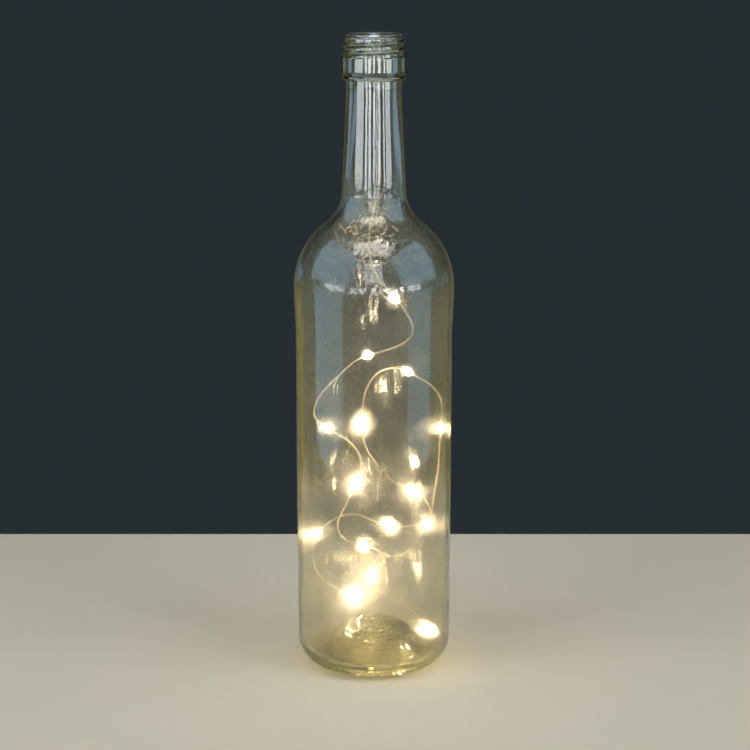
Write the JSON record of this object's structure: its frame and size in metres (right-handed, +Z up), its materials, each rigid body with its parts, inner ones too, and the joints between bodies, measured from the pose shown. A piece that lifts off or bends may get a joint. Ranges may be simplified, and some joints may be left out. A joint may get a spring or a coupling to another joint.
{
  "type": "cork bottle light",
  "caption": "Clear screw-finish wine bottle lit from inside by a string of tiny warm lights on thin wire, hung from a clear battery stopper set into the mouth.",
  "frame": {"origin": "middle of the ring that the bottle stands on", "axes": "+Z up along the bottle's axis; -Y faces the viewer of the picture"},
  "size_m": [0.076, 0.076, 0.3055],
  "materials": {
    "glass": "gloss",
    "clear_plastic": "gloss",
    "button_plastic": "satin",
    "switch_plastic": "matte",
    "board": "satin",
    "contact": "satin",
    "cell_steel": "brushed",
    "silicone": "satin",
    "wire": "satin",
    "led": "gloss",
    "resin": "gloss"
  },
  "bodies": {
    "bottle": {"bottle": "glass", "string_wire": "wire", "led_chip_01": "led", "led_chip_02": "led", "led_chip_03": "led", "led_chip_04": "led", "led_chip_05": "led", "led_chip_06": "led", "led_chip_07": "led", "led_chip_08": "led", "led_chip_09": "led", "led_chip_10": "led", "led_chip_11": "led", "led_chip_12": "led", "led_chip_13": "led", "led_chip_14": "led", "led_chip_15": "led", "resin_drop_01": "resin", "resin_drop_02": "resin", "resin_drop_03": "resin", "resin_drop_04": "resin", "resin_drop_05": "resin", "resin_drop_06": "resin", "resin_drop_07": "resin", "resin_drop_08": "resin", "resin_drop_09": "resin", "resin_drop_10": "resin", "resin_drop_11": "resin", "resin_drop_12": "resin", "resin_drop_13": "resin", "resin_drop_14": "resin", "resin_drop_15": "resin"},
    "stopper": {"stopper_shell": "clear_plastic", "seal_ring_1": "silicone", "seal_ring_2": "silicone", "button_cell_1": "cell_steel", "button_cell_2": "cell_steel", "button_cell_3": "cell_steel", "cell_sleeve": "clear_plastic", "contact_strip": "contact", "negative_contact": "contact", "wire_gland": "silicone", "lead_wire": "wire"},
    "lid": {"lid": "clear_plastic", "circuit_board": "board", "switch": "switch_plastic", "positive_contact": "contact"},
    "button": {"push_button": "button_plastic"}
  },
  "joints": [
    {"name": "stopper_pull", "type": "slide", "parent": "bottle", "child": "stopper", "axis": [0, 0, 1], "range_m": [0, 0.032], "deforming": ["lead_wire"]},
    {"name": "lid_twist", "type": "hinge", "parent": "stopper", "child": "lid", "pos_m": [0, 0, 0.3046], "axis": [0, 0, 1], "range_deg": [0, 60]},
    {"name": "button_press", "type": "slide", "parent": "lid", "child": "button", "axis": [0, 0, -1], "range_m": [0, 0.0006], "stiffness_N_per_m": 400}
  ]
}
